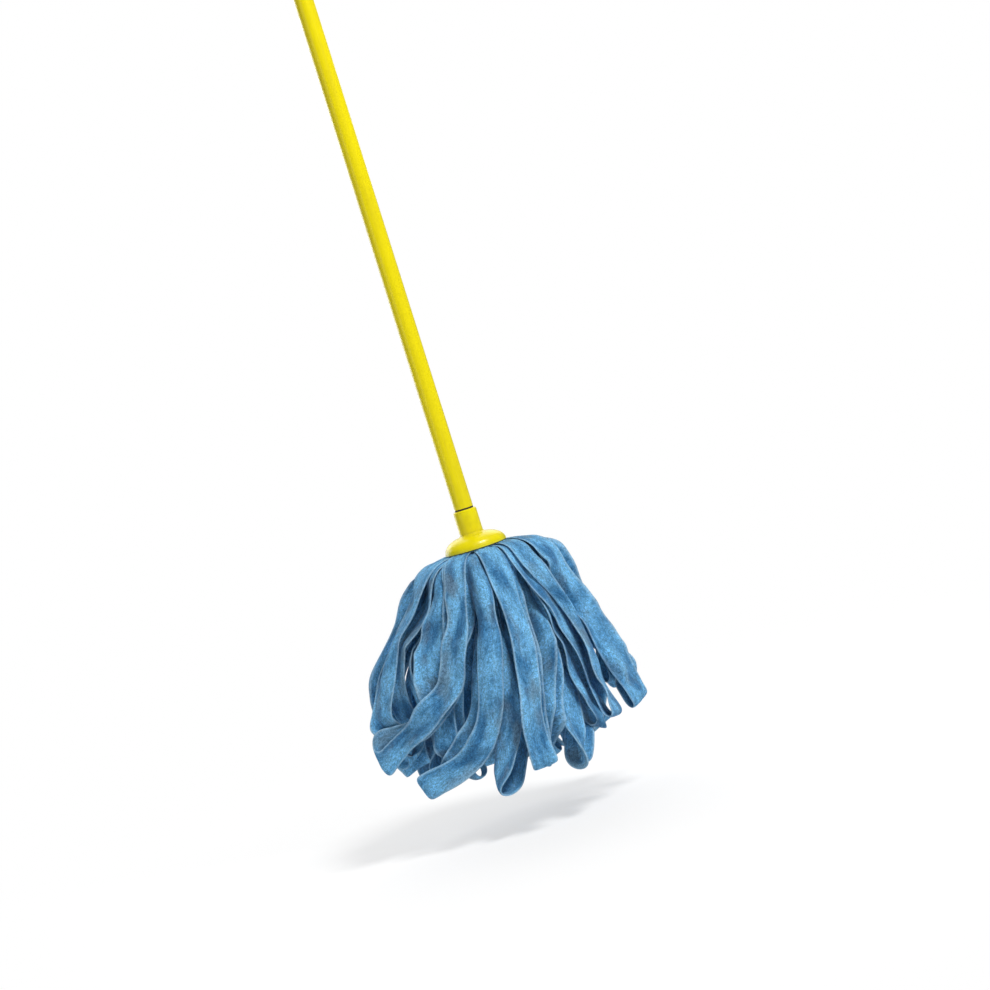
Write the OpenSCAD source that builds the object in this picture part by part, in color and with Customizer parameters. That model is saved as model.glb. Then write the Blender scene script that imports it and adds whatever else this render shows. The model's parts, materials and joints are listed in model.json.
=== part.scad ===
// String mop: a jacketed steel handle that screws into a moulded socket, with a ring of
// looped microfibre strips clamped under the socket's dome.
// Millimetres, +Z up the handle. The origin is on the handle's axis at its lower end,
// where it seats against the ring on the socket's mouth.

/* [Handle] */
// Outside diameter of the handle, over its plastic jacket
handle_d = 22; // [21:1:25]
// Length of the jacketed tube
handle_len = 1200; // [900:50:1500]
// Thickness of the plastic jacket
jacket_t = 0.4; // [0.3:0.1:0.6]
// Wall of the steel tube
tube_wall = 0.4; // [0.3:0.1:0.8]

/* [Hanging cap] */
// Height of the cap above the tube
cap_h = 44; // [42:1:60]
// Thickness of the flat tab that holds the eye
tab_t = 9; // [6:1:12]
// Diameter of the hanging eye
eye_d = 10; // [8:1:12]
// Height of the eye's centre above the tube
eye_h = 28; // [24:1:30]

/* [Screw joint] */
// Pitch of the round-form right-hand thread
thread_pitch = 5; // [4:0.5:6]
// Largest diameter of the male thread
thread_d = 19; // [17:0.5:19]
// Depth of the thread form
thread_depth = 1.6; // [1.2:0.2:2]
// Length of the male thread
thread_len = 20; // [15:1:22]
// Thickness of the rubber ring between handle and socket
ring_t = 2; // [1.5:0.5:3]

/* [Socket] */
// Outside diameter of the neck
neck_d = 27.2; // [26.6:0.2:32]
// Length of the neck, from its mouth to the dome
neck_len = 29; // [27:1:36]
// Outside diameter of the dome at its rim
dome_d = 72; // [68:1:80]
// Height of the dome
dome_h = 15.5; // [14:0.5:18]
// Wall of the dome
dome_wall = 2.5; // [2:0.5:3]

/* [Strips] */
// Width of one strip
strip_w = 32; // [24:1:36]
// Thickness of one strip
strip_t = 2.2; // [1.8:0.1:2.6]
// Straight distance from the rim to the bottom of a loop
strip_len = 291; // [240:1:320]
// How far the outer layer reaches on one side of the handle, from its axis
reach_left = 198; // [160:1:205]
// How far the outer layer reaches on the other side
reach_right = 155; // [130:1:165]
// How far the outer layer reaches to the front and to the back
reach_front = 120; // [95:5:130]
// Radius of the turn at the bottom of an outer loop
turn_r = 12; // [10:1:13]
// How far the outer layer gathers inwards from rest, in degrees
gather = 4; // [0:1:8]
// How far the outer layer spreads outwards from rest, in degrees
spread = 50; // [20:5:60]

/* [Hidden] */
strip_count = 24;              // three layers of eight
STRIPS = [for (i = [1 : strip_count]) str("strip_", i < 10 ? "0" : "", i)];

play = 0.3;                    // gap between parts that aren't pressed together
touch = 0.1;                   // gap between parts that are clamped face to face
run = 1;                       // how far a cutting shape runs past what it cuts
yellow = [0.93, 0.86, 0.08];
black = [0.07, 0.07, 0.07];
steel = [0.72, 0.73, 0.75];
natural = [0.9, 0.89, 0.84];
blue = [0.36, 0.58, 0.76];

// Handle
handle_r = handle_d / 2;
tube_r = handle_r - jacket_t;
bore_r = tube_r - tube_wall;
jacket_lap = 1;                // the jacket runs past each end of the steel by this much
plug_len = 30;                 // length of the tip and of the cap inside the tube
plug_taper = 1.5;
thread_r = thread_d / 2;
core_r = thread_r - thread_depth;

// Socket, downwards from the origin
mouth_z = -ring_t;
well_floor = mouth_z - thread_len - 5;
dome_z = mouth_z - neck_len;
rim_z = dome_z - dome_h;
roof_z = dome_z - 3;           // underside of the web across the dome
neck_r = neck_d / 2;
dome_r = dome_d / 2;
inner_r = dome_r - dome_wall;
rib_count = 6;
rib_t = 2;

// Clamp, inside and under the dome
pack_top = rim_z + 4;
pack_base = rim_z - 2.5;
pack_skirt = rim_z - 0.5;      // below this the pack spreads out under the rim
plate_r = 23;
plate_t = 3;
bite_w = 2;                    // the rib round the plate's edge that bites into the pack
bite_h = 0.8;
boss_r = 7;
tape_w = 6;
tape_t = 1.2;
screw_r = 2;
screw_len = 17;
screw_head_r = 4;
screw_head_h = 2.6;
washer_t = 0.8;
seat_z = well_floor + washer_t + touch;

// Strips
layer_reach = [1, 0.86, 0.72]; // outer, middle and inner layer
layer_turn = [1, 0.85, 0.7];
layer_swing = [1, 0.8, 0.6];
hinge_r = dome_r + 2;          // each strip bends about a rolled edge just outside the rim
bead_r = strip_t + 0.7;
hinge_z = rim_z - bead_r - 0.9;
half_sector = 180 / strip_count;
bead_w = 2 * (hinge_r - bead_r) * tan(half_sector) - play;
sweep = 1.8;                   // how squarely a leg turns from outwards to downwards
leg_steps = 12;
turn_steps = 6;
joined_steps = 6;              // a loop's two legs lie together down to this step

$fn = 72;

// ---- Shared shapes ----

module tube(r_out, r_in, z_low, z_high) {
    translate([0, 0, z_low]) difference() {
        cylinder(r = r_out, h = z_high - z_low);
        translate([0, 0, -run]) cylinder(r = r_in, h = z_high - z_low + 2 * run);
    }
}

// A round-form helix: a circle off the axis that turns as it rises. Its phase depends only
// on the height, so the male and the female thread stay in mesh.
module helix(r_max, z_low, z_high) {
    turns = (z_high - z_low) / thread_pitch;
    translate([0, 0, z_low]) rotate([0, 0, 360 * z_low / thread_pitch])
        linear_extrude(z_high - z_low, twist = -360 * turns, slices = 12 * turns, $fn = 24)
            translate([thread_depth / 2, 0]) circle(r = r_max - thread_depth / 2, $fn = 24);
}

// ---- Handle ----

module handle_jacket() {
    color(yellow) tube(handle_r, tube_r, 0, handle_len);
}

module handle_tube() {
    color(steel) tube(tube_r, bore_r, jacket_lap, handle_len - jacket_lap);
}

module threaded_tip() {
    lead_in = 2;
    weld = 0.01;                         // overlap that joins the stages of one moulding
    color(black) {
        // plug inside the tube, with a collar under the tube's end
        rotate_extrude() polygon([
            [0, 0], [tube_r, 0], [tube_r, jacket_lap], [bore_r, jacket_lap],
            [bore_r, plug_len - plug_taper], [bore_r - plug_taper, plug_len], [0, plug_len]
        ]);
        helix(thread_r, -thread_len, weld);
        translate([0, 0, -thread_len - lead_in])
            cylinder(r1 = core_r - 1, r2 = core_r, h = lead_in + weld);
    }
}

module hanging_cap() {
    shoulder = 8;                        // full-round height above the tube
    top = handle_len + cap_h;
    plug_base = handle_len - plug_len;
    steel_top = handle_len - jacket_lap;
    // the cap is as wide as the bare tube, so a clip slides over it onto the jacket
    nose = [for (t = [0 : 15 : 90]) tube_r * [cos(t), sin(t)] + [0, top - tube_r]];
    color(yellow) difference() {
        rotate_extrude() polygon(concat([
            [0, plug_base], [bore_r - plug_taper, plug_base], [bore_r, plug_base + plug_taper],
            [bore_r, steel_top], [tube_r, steel_top]
        ], nose));
        for (turn = [0, 180]) rotate([0, 0, turn])
            translate([-handle_r, tab_t / 2, handle_len + shoulder]) cube([handle_d, handle_r, cap_h]);
        translate([0, handle_r, handle_len + eye_h]) rotate([90, 0, 0])
            cylinder(d = eye_d, h = handle_d);
    }
}

// ---- Socket ----

module seat_ring() {
    color(black) tube(handle_r - play, thread_r + play, mouth_z, 0);
}

// The dome's half-section as part of an ellipse, from t_top degrees down to the rim.
function dome_arc(r_in, r_out, height, t_top) = [for (t = [t_top : -t_top / 8 : 0])
    [r_in + (r_out - r_in) * cos(t), rim_z + height * sin(t)]];

module socket() {
    mouth_edge = 1.2;
    fillet_h = 3;
    t_top = 72;
    thread_gap = 0.35;
    outside = dome_arc(neck_r - 1, dome_r, dome_h, t_top);
    crown = outside[0];
    // the neck runs into the dome through a hollow curve
    fillet = [for (t = [0 : 15 : 75])
        [neck_r + (crown[0] - neck_r) * (1 - cos(t)), crown[1] + fillet_h * (1 - sin(t))]];
    color(yellow) difference() {
        union() {
            difference() {
                rotate_extrude() polygon(concat(
                    [[0, mouth_z], [neck_r - mouth_edge, mouth_z], [neck_r, mouth_z - mouth_edge]],
                    fillet, outside, [[0, rim_z]]));
                rotate_extrude() polygon(concat(
                    [[0, roof_z]], dome_arc(neck_r - dome_wall, inner_r, roof_z - rim_z, 90),
                    [[inner_r, rim_z - run], [0, rim_z - run]]));
            }
            // ribs from the web down to the strips, clear of the plate's boss
            for (i = [1 : rib_count]) rotate([0, 0, i * 360 / rib_count])
                translate([boss_r + 1.5, -rib_t / 2, pack_top + play])
                    cube([neck_r, rib_t, roof_z - pack_top]);
        }
        helix(thread_r + thread_gap, mouth_z - thread_len - 1, mouth_z + run);
        translate([0, 0, well_floor]) cylinder(r = core_r, h = thread_len);
        translate([0, 0, roof_z - run]) cylinder(r = screw_r + play, h = neck_len);
    }
}

// ---- Clamp ----

module clamp_plate() {
    plate_z = pack_base - plate_t;
    color(natural) difference() {
        union() {
            translate([0, 0, plate_z]) cylinder(r = plate_r, h = plate_t - touch);
            translate([0, 0, plate_z]) cylinder(r = boss_r, h = roof_z - touch - plate_z);
            tube(plate_r, plate_r - bite_w, plate_z, pack_base + bite_h);
        }
        translate([0, 0, roof_z - screw_len]) cylinder(r = screw_r + 0.05, h = screw_len);
    }
}

module clamp_screw() {
    point_h = 2;
    slot = [4.8, 1, 1.3];
    color(steel) difference() {
        union() {
            translate([0, 0, seat_z])
                cylinder(r1 = screw_head_r, r2 = screw_head_r - 0.8, h = screw_head_h);
            rotate_extrude() polygon([
                [0, seat_z + touch], [screw_r, seat_z + touch], [screw_r, seat_z - screw_len],
                [0.3, seat_z - screw_len - point_h], [0, seat_z - screw_len - point_h]
            ]);
        }
        for (turn = [0, 90]) rotate([0, 0, turn])
            translate([-slot[0] / 2, -slot[1] / 2, seat_z + screw_head_h - slot[2]])
                cube(slot + [0, 0, run]);
    }
}

module clamp_washer() {
    color(steel) tube(screw_head_r + 2, screw_r + 0.25, well_floor + touch / 2, seat_z - touch / 2);
}

// The strips' inner ends, pressed together between the dome and the plate.
module root_pack() {
    core = boss_r + play;
    neat_r = inner_r - 1.5;
    skirt_r = dome_r - 1.8;
    color(blue) difference() {
        rotate_extrude() polygon([
            [core, pack_top], [neat_r - 5, pack_top], [neat_r, pack_skirt],
            [skirt_r, pack_skirt], [skirt_r, pack_base], [core, pack_base]
        ]);
        tube(plate_r + play, plate_r - bite_w - play, pack_base - run, pack_base + bite_h + play);
    }
}

module binding_tape() {
    r_in = plate_r + 1;
    color(natural) tube(r_in + tape_w, r_in, pack_base - touch - tape_t, pack_base - touch);
}

// ---- Strips ----

// Strip 1 hangs at the front, and the numbers run anticlockwise seen from above. Strips 2,
// 5, 8 and so on are the outer layer.
function azimuth(i) = -90 + 2 * half_sector * (i - 1);
function layer(i) = (i + 1) % 3;

// Distance from the axis to the ellipse that the outer layer reaches.
function outline(a) = let (side = cos(a) < 0 ? reach_left : reach_right)
    1 / norm([cos(a) / side, sin(a) / reach_front]);
function reach(i) = layer_reach[layer(i)] * outline(azimuth(i));
function drop(i) = sqrt(pow(strip_len, 2) - pow(0.85 * reach(i), 2));

// Points down the outside of a loop in its own radial plane, closer together near the rim.
function share(k) = pow(k / leg_steps, 1.8);
function outer_leg(i) = [for (k = [0 : leg_steps])
    [hinge_r + (reach(i) - hinge_r) * pow(1 - pow(1 - share(k), sweep), 1 / sweep),
     hinge_z + strip_t - (drop(i) - turn_r * layer_turn[layer(i)]) * share(k)]];

// Moves the points of a line to its right by a distance that grows from one end to the other.
function beside(line, from, to) = let (last = len(line) - 1) [for (k = [0 : last])
    let (d = line[min(k + 1, last)] - line[max(k - 1, 0)])
    line[k] + [d[1], -d[0]] / norm(d) * (from + (to - from) * share(k))];
function reversed(line) = [for (k = [len(line) - 1 : -1 : 0]) line[k]];
function after(line, step) = [for (k = [step : len(line) - 1]) line[k]];

// A loop's closed outline: down the outer leg, round the turn and up the inner leg.
// The inset that gives its hollow is the strip's thickness, from a step further down.
function loop_outline(i, inset, step) =
    let (r = turn_r * layer_turn[layer(i)],
         leg = outer_leg(i),
         outside = beside(leg, inset, inset),
         inside = beside(leg, 2 * strip_t - inset, 2 * r - inset),
         centre = leg[leg_steps] - [r, 0],
         turn = [for (k = [1 : turn_steps - 1]) let (t = 180 * k / turn_steps)
             centre + (r - inset) * [cos(t), -sin(t)]])
    concat(after(outside, step), turn, reversed(after(inside, step)));

// The sector that keeps a strip clear of its neighbours, as it lies when the strip has
// swung out by the given angle.
module sector(swing) {
    far = 2 * reach_left;
    height = 2 * strip_len;
    apex = play / 2 / sin(half_sector);
    translate([hinge_r, 0, hinge_z]) rotate([0, swing, 0])
        translate([apex - hinge_r, 0, -height / 2]) linear_extrude(height)
            polygon([[0, 0], far * [1, tan(half_sector)], far * [1, -tan(half_sector)]]);
}

module strip(i) {
    swing = layer_swing[layer(i)];
    color(blue) rotate([0, 0, azimuth(i)]) {
        intersection() {
            rotate([90, 0, 0]) difference() {
                linear_extrude(strip_w, center = true) polygon(loop_outline(i, 0, 0));
                linear_extrude(strip_w + run, center = true)
                    polygon(loop_outline(i, strip_t, joined_steps));
            }
            sector(-gather * swing);
            sector(spread * swing);
        }
        translate([hinge_r, 0, hinge_z]) rotate([90, 0, 0])
            cylinder(r = bead_r, h = bead_w, center = true);
    }
}

handle_jacket();
handle_tube();
threaded_tip();
hanging_cap();
seat_ring();
socket();
clamp_plate();
clamp_screw();
clamp_washer();
root_pack();
binding_tape();
for (i = [1 : strip_count])
    strip(i);
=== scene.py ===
"""String mop: the looks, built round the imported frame.

Lengths are in millimetres until a mesh is made, which is in metres, as the stage is.
The handle, the socket and the clamp are the frame's own nodes with materials. The strips
are built here: each one is a brushed microfibre ribbon that leaves the dome's rim, runs
down a bell-shaped surface, turns over and runs back up inside.
"""

import json
import math

import bpy
import numpy as np
from mathutils import Matrix, Vector

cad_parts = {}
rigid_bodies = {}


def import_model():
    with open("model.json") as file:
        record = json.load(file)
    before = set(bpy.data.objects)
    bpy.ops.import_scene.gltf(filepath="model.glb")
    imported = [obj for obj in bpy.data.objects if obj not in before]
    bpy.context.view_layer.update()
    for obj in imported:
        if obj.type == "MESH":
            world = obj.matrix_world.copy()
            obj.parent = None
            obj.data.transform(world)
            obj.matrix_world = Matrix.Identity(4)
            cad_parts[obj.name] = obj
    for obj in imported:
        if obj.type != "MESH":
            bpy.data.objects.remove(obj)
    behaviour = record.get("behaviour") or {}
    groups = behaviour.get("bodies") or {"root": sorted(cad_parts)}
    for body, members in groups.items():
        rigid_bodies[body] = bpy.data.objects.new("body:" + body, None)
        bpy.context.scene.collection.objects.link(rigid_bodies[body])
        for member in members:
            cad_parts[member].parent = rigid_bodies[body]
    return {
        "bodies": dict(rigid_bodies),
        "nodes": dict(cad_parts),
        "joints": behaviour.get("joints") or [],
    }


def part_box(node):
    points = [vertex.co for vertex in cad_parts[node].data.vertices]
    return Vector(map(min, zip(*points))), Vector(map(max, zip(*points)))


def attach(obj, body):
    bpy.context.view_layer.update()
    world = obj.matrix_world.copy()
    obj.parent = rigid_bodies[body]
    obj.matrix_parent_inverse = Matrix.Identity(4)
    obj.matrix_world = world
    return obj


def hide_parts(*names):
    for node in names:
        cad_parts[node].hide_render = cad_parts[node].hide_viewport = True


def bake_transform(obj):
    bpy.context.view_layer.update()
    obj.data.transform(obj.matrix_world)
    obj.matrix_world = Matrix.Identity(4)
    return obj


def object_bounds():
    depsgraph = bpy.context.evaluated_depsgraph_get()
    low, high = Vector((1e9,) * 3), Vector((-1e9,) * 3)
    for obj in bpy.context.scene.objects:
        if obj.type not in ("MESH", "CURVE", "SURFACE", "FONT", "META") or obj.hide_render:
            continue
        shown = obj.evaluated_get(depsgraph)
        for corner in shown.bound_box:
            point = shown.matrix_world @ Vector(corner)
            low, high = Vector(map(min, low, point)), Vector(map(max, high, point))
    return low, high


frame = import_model()
cad_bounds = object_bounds()

MM = 0.001
rng = np.random.default_rng(24)

# ---------------------------------------------------------------- places from the frame

RIM_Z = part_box("socket")[0].z / MM
RIM_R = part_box("socket")[1].x / MM
JOINT_OF = {j["child"]: j for j in frame["joints"]}
STRIPS = sorted(body for body in frame["bodies"] if body.startswith("strip_"))
TRAVELS = sorted({JOINT_OF[s]["range_deg"][1] for s in STRIPS}, reverse=True)


def root_azimuth(strip):
    """Where a strip's hinge is round the rim, in degrees from +X."""
    x, y, _ = JOINT_OF[strip]["pos_m"]
    return math.degrees(math.atan2(y, x)) % 360


def layer_of(strip):
    """0 for the outer layer, 1 for the middle one and 2 for the inner one: they spread less."""
    return TRAVELS.index(JOINT_OF[strip]["range_deg"][1])


# ---------------------------------------------------------------- small tools

def smoothstep(x):
    """A soft step from 0 to 1 as x goes from 0 to 1."""
    x = np.clip(x, 0, 1)
    return x * x * (3 - 2 * x)


def unit(vectors):
    """The same vectors at length 1."""
    return vectors / np.linalg.norm(vectors, axis=-1, keepdims=True)


def blur(grid, sigma, axis=0):
    """Gaussian smoothing along one axis, with the ends held."""
    grid = np.moveaxis(np.asarray(grid, float), axis, 0)
    reach = max(1, int(3 * sigma))
    kernel = np.exp(-0.5 * (np.arange(-reach, reach + 1) / sigma) ** 2)
    kernel /= kernel.sum()
    padded = np.concatenate([np.repeat(grid[:1], reach, 0), grid, np.repeat(grid[-1:], reach, 0)])
    out = sum(k * padded[i:i + len(grid)] for i, k in enumerate(kernel))
    return np.moveaxis(out, 0, axis)


def ripple(shape, sigmas, size):
    """A smooth random field whose standard deviation is size."""
    field = rng.normal(size=shape)
    for axis, sigma in enumerate(sigmas):
        field = blur(field, sigma, axis)
    return field * size / field.std()


def run_along(places):
    """Distance along a line of points."""
    return np.concatenate([[0], np.cumsum(np.linalg.norm(np.diff(places, axis=0), axis=1))])


# ---------------------------------------------------------------- the bell that strips lie on

# Slope below the horizontal, in degrees, at these distances from the rim down a meridian.
ARC = [0, 20, 45, 75, 110, 165, 200, 240, 270, 310]
SLOPE_LEFT = [2, 10, 38, 46, 52, 57, 65, 90, 104, 135]
SLOPE_RIGHT = [4, 16, 42, 70, 75, 68, 78, 84, 80, 85]
SLOPE_FRONT = [8, 30, 55, 72, 80, 86, 89, 90, 92, 95]
MERIDIAN_END = 360
MERIDIAN_STEPS = np.arange(MERIDIAN_END + 1)
LENS = 0.55                    # how far the bell is from round low down, where it is a lens
LENS_FROM_RIM = 100            # the distance down at which it is fully so


def meridian(slopes):
    """Radius and drop at each millimetre down a meridian."""
    slope = np.radians(np.interp(MERIDIAN_STEPS + 0.5, ARC, slopes))
    radius = RIM_R + np.concatenate([[0], np.cumsum(np.cos(slope))[:-1]])
    drop = np.concatenate([[0], np.cumsum(np.sin(slope))[:-1]])
    return radius, drop


LEFT = meridian(SLOPE_LEFT)
RIGHT = meridian(SLOPE_RIGHT)
FRONT = meridian(SLOPE_FRONT)


def bell(azimuth, v):
    """The point at that azimuth, in degrees, and that distance from the rim."""
    azimuth, v = np.broadcast_arrays(np.asarray(azimuth, float), np.asarray(v, float))
    c = np.cos(np.radians(azimuth))
    s = np.sin(np.radians(azimuth))
    inside = np.minimum(v, 0)

    def at(table):
        return np.interp(v, MERIDIAN_STEPS, table)

    side_r = np.where(c < 0, at(LEFT[0]), at(RIGHT[0])) + inside
    side_drop = np.where(c < 0, at(LEFT[1]), at(RIGHT[1]))
    front_r = at(FRONT[0]) + inside
    power = 2 - LENS * smoothstep(v / LENS_FROM_RIM)     # a power of 2 makes a circle
    radius = (np.abs(c / side_r) ** power + np.abs(s / front_r) ** power) ** (-1 / power)
    drop = side_drop * c * c + at(FRONT[1]) * s * s
    return np.stack([radius * c, radius * s, RIM_Z - drop], -1)


def bell_frame(azimuth, v):
    """Unit vectors round, down and out of the bell, and the rates along azimuth and v."""
    da = 0.5
    dv = 1.0
    per_a = (bell(azimuth + da, v) - bell(azimuth - da, v)) / (2 * da)
    per_v = (bell(azimuth, v + dv) - bell(azimuth, v - dv)) / (2 * dv)
    rate_v = np.linalg.norm(per_v, axis=-1)
    down = per_v / rate_v[..., None]
    skew = np.sum(per_a * down, -1)
    across = per_a - skew[..., None] * down
    rate_a = np.linalg.norm(across, axis=-1)
    across = across / rate_a[..., None]
    return across, down, np.cross(down, across), rate_a, rate_v, skew


# ---------------------------------------------------------------- the strips' courses

STRIP_W = 32
STRIP_T = 2.6
STEP = 4.0                     # between rows of points down a strip
ROOT_IN = 8                    # how far inside the rim a strip starts
ROOT_OUT = 6                   # how far outside it the strip still points straight out
BEND_BLUR = 18                 # how softly a strip turns from one place to the next
COLUMNS = np.linspace(-1, 1, 13)
FRONT_AZIMUTHS = np.arange(165, 375.1, 0.5)     # 270 faces the camera
AZIMUTH_PULL = 0.3             # millimetres for each degree
BACK_STRIPS = [f"strip_{number:02d}" for number in range(9, 19)]
LAID_LAST = ["strip_04", "strip_23"]     # each one over the rest of its own layer


class Course:
    """How one strip hangs.

    points are places that the strip's middle passes, each one across (positive to the
    handle's right) and down from the rim, as they are seen from the front. roll turns the
    strip about its own length, in degrees, half way down and at the fold. side is how far
    the inner leg hangs to the right of the outer one. radius is the fold's. lean is the
    azimuth, in degrees, that the first place is drawn towards, if that isn't the root's.
    """

    def __init__(self, points, roll, side, radius=5, lean=None):
        self.points = points
        self.roll = roll
        self.side = side
        self.radius = radius
        self.lean = lean


COURSES = {
    "strip_19": Course([(-108, 43), (-143, 90), (-167, 134), (-173, 175), (-157, 220)],
                       roll=(0, -16), side=16),
    "strip_20": Course([(-62, 13), (-94, 42), (-118, 72), (-139, 103), (-155, 140), (-162, 172),
                        (-158, 206)], roll=(-28, -30), side=14),
    "strip_21": Course([(-46, 36), (-66, 54), (-84, 80), (-92, 112), (-98, 150), (-100, 200),
                        (-92, 250)], roll=(-24, 34), side=8),
    "strip_22": Course([(-50, 38), (-74, 44), (-98, 56), (-118, 80), (-124, 108), (-120, 140),
                        (-124, 180), (-130, 226)], roll=(56, 20), side=14),
    "strip_23": Course([(-32, 40), (-43, 80), (-59, 112), (-74, 140), (-105, 170), (-140, 185),
                        (-166, 193)], roll=(0, 12), side=-8, radius=3),
    "strip_24": Course([(-11, 45), (-14, 90), (-24, 130), (-40, 168), (-64, 206), (-98, 230),
                        (-132, 236)], roll=(24, 12), side=-14),
    "strip_01": Course([(-2, 50), (-5, 90), (-9, 140), (-22, 185), (-38, 226), (-46, 264)],
                       roll=(-14, 26), side=14),
    "strip_02": Course([(23, 45), (22, 90), (14, 130), (8, 156), (0, 200), (-7, 246)],
                       roll=(0, -24), side=10),
    "strip_03": Course([(40, 20), (48, 45), (50, 80), (44, 115), (34, 150), (20, 195), (8, 235),
                        (2, 250)], roll=(36, 30), side=8),
    "strip_04": Course([(46, 20), (57, 44), (66, 64), (70, 90), (66, 118), (60, 142), (54, 186),
                        (40, 230), (30, 256)], roll=(30, -30), side=34),
    "strip_05": Course([(44, 8), (54, 30), (69, 56), (79, 86), (87, 120), (92, 154), (94, 190),
                        (93, 228)], roll=(10, -45), side=-12),
    "strip_06": Course([(46, 22), (60, 56), (70, 92), (77, 140), (76, 180), (72, 226)],
                       roll=(0, 34), side=18),
    "strip_07": Course([(88, 24), (102, 58), (112, 92), (124, 136), (127, 172), (124, 196)],
                       roll=(0, 16), side=16),
    "strip_08": Course([(58, 5), (77, 22), (87, 41), (92, 62), (99, 84), (106, 107), (112, 130),
                        (118, 160), (125, 192), (131, 224)], roll=(24, 28), side=10, lean=335),
    "strip_09": Course([(80, 24), (95, 62), (104, 104), (112, 150), (118, 205)],
                       roll=(0, -14), side=-16),
    "strip_10": Course([(62, 45), (78, 92), (92, 140), (90, 190), (80, 240)],
                       roll=(10, 24), side=14),
    "strip_11": Course([(46, 50), (52, 95), (50, 140), (58, 190), (70, 256)],
                       roll=(-12, -20), side=-14),
    "strip_12": Course([(24, 50), (36, 95), (40, 140), (30, 190), (32, 268)],
                       roll=(0, 25), side=16),
    "strip_13": Course([(3, 50), (10, 95), (2, 140), (-8, 190), (8, 274)],
                       roll=(12, -18), side=-14),
    "strip_14": Course([(-16, 50), (-14, 95), (-24, 140), (-38, 190), (-30, 268)],
                       roll=(0, 26), side=14),
    "strip_15": Course([(-36, 50), (-44, 95), (-58, 140), (-66, 190), (-72, 256)],
                       roll=(-14, 16), side=-18),
    "strip_16": Course([(-54, 48), (-78, 92), (-86, 130), (-96, 180), (-100, 246)],
                       roll=(0, -24), side=16),
    "strip_17": Course([(-76, 45), (-106, 85), (-124, 125), (-128, 175), (-120, 250)],
                       roll=(14, 20), side=-16),
    "strip_18": Course([(-98, 42), (-126, 80), (-148, 122), (-157, 170), (-140, 232)],
                       roll=(0, 14), side=14),
}


def on_bell(points, azimuth):
    """Azimuth and v of places on the bell's front that are given across and down.

    Near the outline one place is seen nearly the same at many azimuths, so each place is
    also drawn towards the azimuth of the one before it.
    """
    a, v = np.meshgrid(FRONT_AZIMUTHS, np.arange(0, MERIDIAN_END, 1.0), indexing="ij")
    seen = bell(a, v)
    found = []
    for across, down in points:
        miss = (seen[..., 0] - across) ** 2 + (RIM_Z - seen[..., 2] - down) ** 2
        i, j = np.unravel_index(np.argmin(miss + (AZIMUTH_PULL * (a - azimuth)) ** 2), miss.shape)
        azimuth = a[i, j]
        found.append((azimuth, v[i, j]))
    return found


def trace(strip):
    """Azimuth and v at even steps down a strip's outer leg."""
    course = COURSES[strip]
    back = strip in BACK_STRIPS
    start = root_azimuth(strip)
    start = 360 - start if back else start
    if start < FRONT_AZIMUTHS[0]:
        start += 360
    root = [(start, -ROOT_IN), (start, ROOT_OUT)]
    knots = np.array(root + on_bell(course.points, course.lean or start))
    run = run_along(bell(knots[:, 0], knots[:, 1]))
    dense = np.arange(0, run[-1], 1.0)
    a, v = (blur(np.interp(dense, run, knots[:, i]), BEND_BLUR) for i in (0, 1))
    v[:ROOT_IN] = dense[:ROOT_IN] - ROOT_IN
    run = run_along(bell(a, v))
    even = np.arange(0, run[-1] - course.radius, STEP)
    a = np.interp(even, run, a)
    v = np.interp(even, run, v)
    return (360 - a if back else a), v


# ---------------------------------------------------------------- stacking

# v is the distance down the bell from the rim, and each row of a height map is one v.
V_STEP = 3.0
V_MIN = -12.0
V_ROWS = 122
V_AXIS = V_MIN + V_STEP * np.arange(V_ROWS)
SPACING_AT_RIM = 0.75          # between the middles of two sheets that are pressed together
SPACING = 3.3                  # the same where they hang loosely
LOOSE_FROM_RIM = 40            # the distance from the rim over which they come loose
PACKING_PASSES = 4
RELIEF = 3.0                   # the standard deviation of the pile's hills and hollows
RELIEF_BLUR = (7, 8)           # how broad they are, in degrees round and in rows down
RELIEF_FROM_RIM = 90           # the distance from the rim over which they grow
INSET_AT_RIM = 7               # how far inside the bell the innermost sheets lie there
SHALLOWEST = -2.5              # the least and the most that they may lie inside it
DEEPEST = -(INSET_AT_RIM + 44 * smoothstep(V_AXIS / 80))
TIGHTEST = 0.3 + 0.3 * smoothstep((V_AXIS - 150) / 50)     # of its depth, a squeezed pile

# Heights over the bell, for each degree round it and each step down it: base is where the
# innermost sheets lie, and heights is the top of what has been laid so far.
base = np.tile(-(INSET_AT_RIM + 22 * smoothstep(V_AXIS / 90)), (360, 1))
heights = base.copy()


def blur_round(grid, degrees, rows):
    """Smooths a height map, which joins up with itself round the bell."""
    overlap = 40
    wrapped = np.concatenate([grid[-overlap:], grid, grid[:overlap]])
    return blur(blur(wrapped, degrees, 0), rows, 1)[overlap:-overlap]


# The heights where the middles of the outermost sheets are wanted: half a thickness inside
# the bell, with hills and hollows.
relief = blur_round(rng.normal(size=(360, V_ROWS)), *RELIEF_BLUR)
relief = RELIEF * relief / relief.std() * smoothstep(V_AXIS / RELIEF_FROM_RIM) - STRIP_T / 2


def pack_inwards():
    """Moves the innermost sheets in or out, so that the outermost ones end up on the bell."""
    wanted = base - blur_round(heights - relief, 9, 4)
    base[:] = np.clip(wanted, DEEPEST, SHALLOWEST)
    heights[:] = base


def squeeze_map():
    """How far each pile is pressed together, so that it reaches no further than the bell."""
    depth = blur_round(np.maximum(heights - base, 1), 4, 2)
    return np.clip((relief - base) / depth, TIGHTEST, 1)


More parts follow.
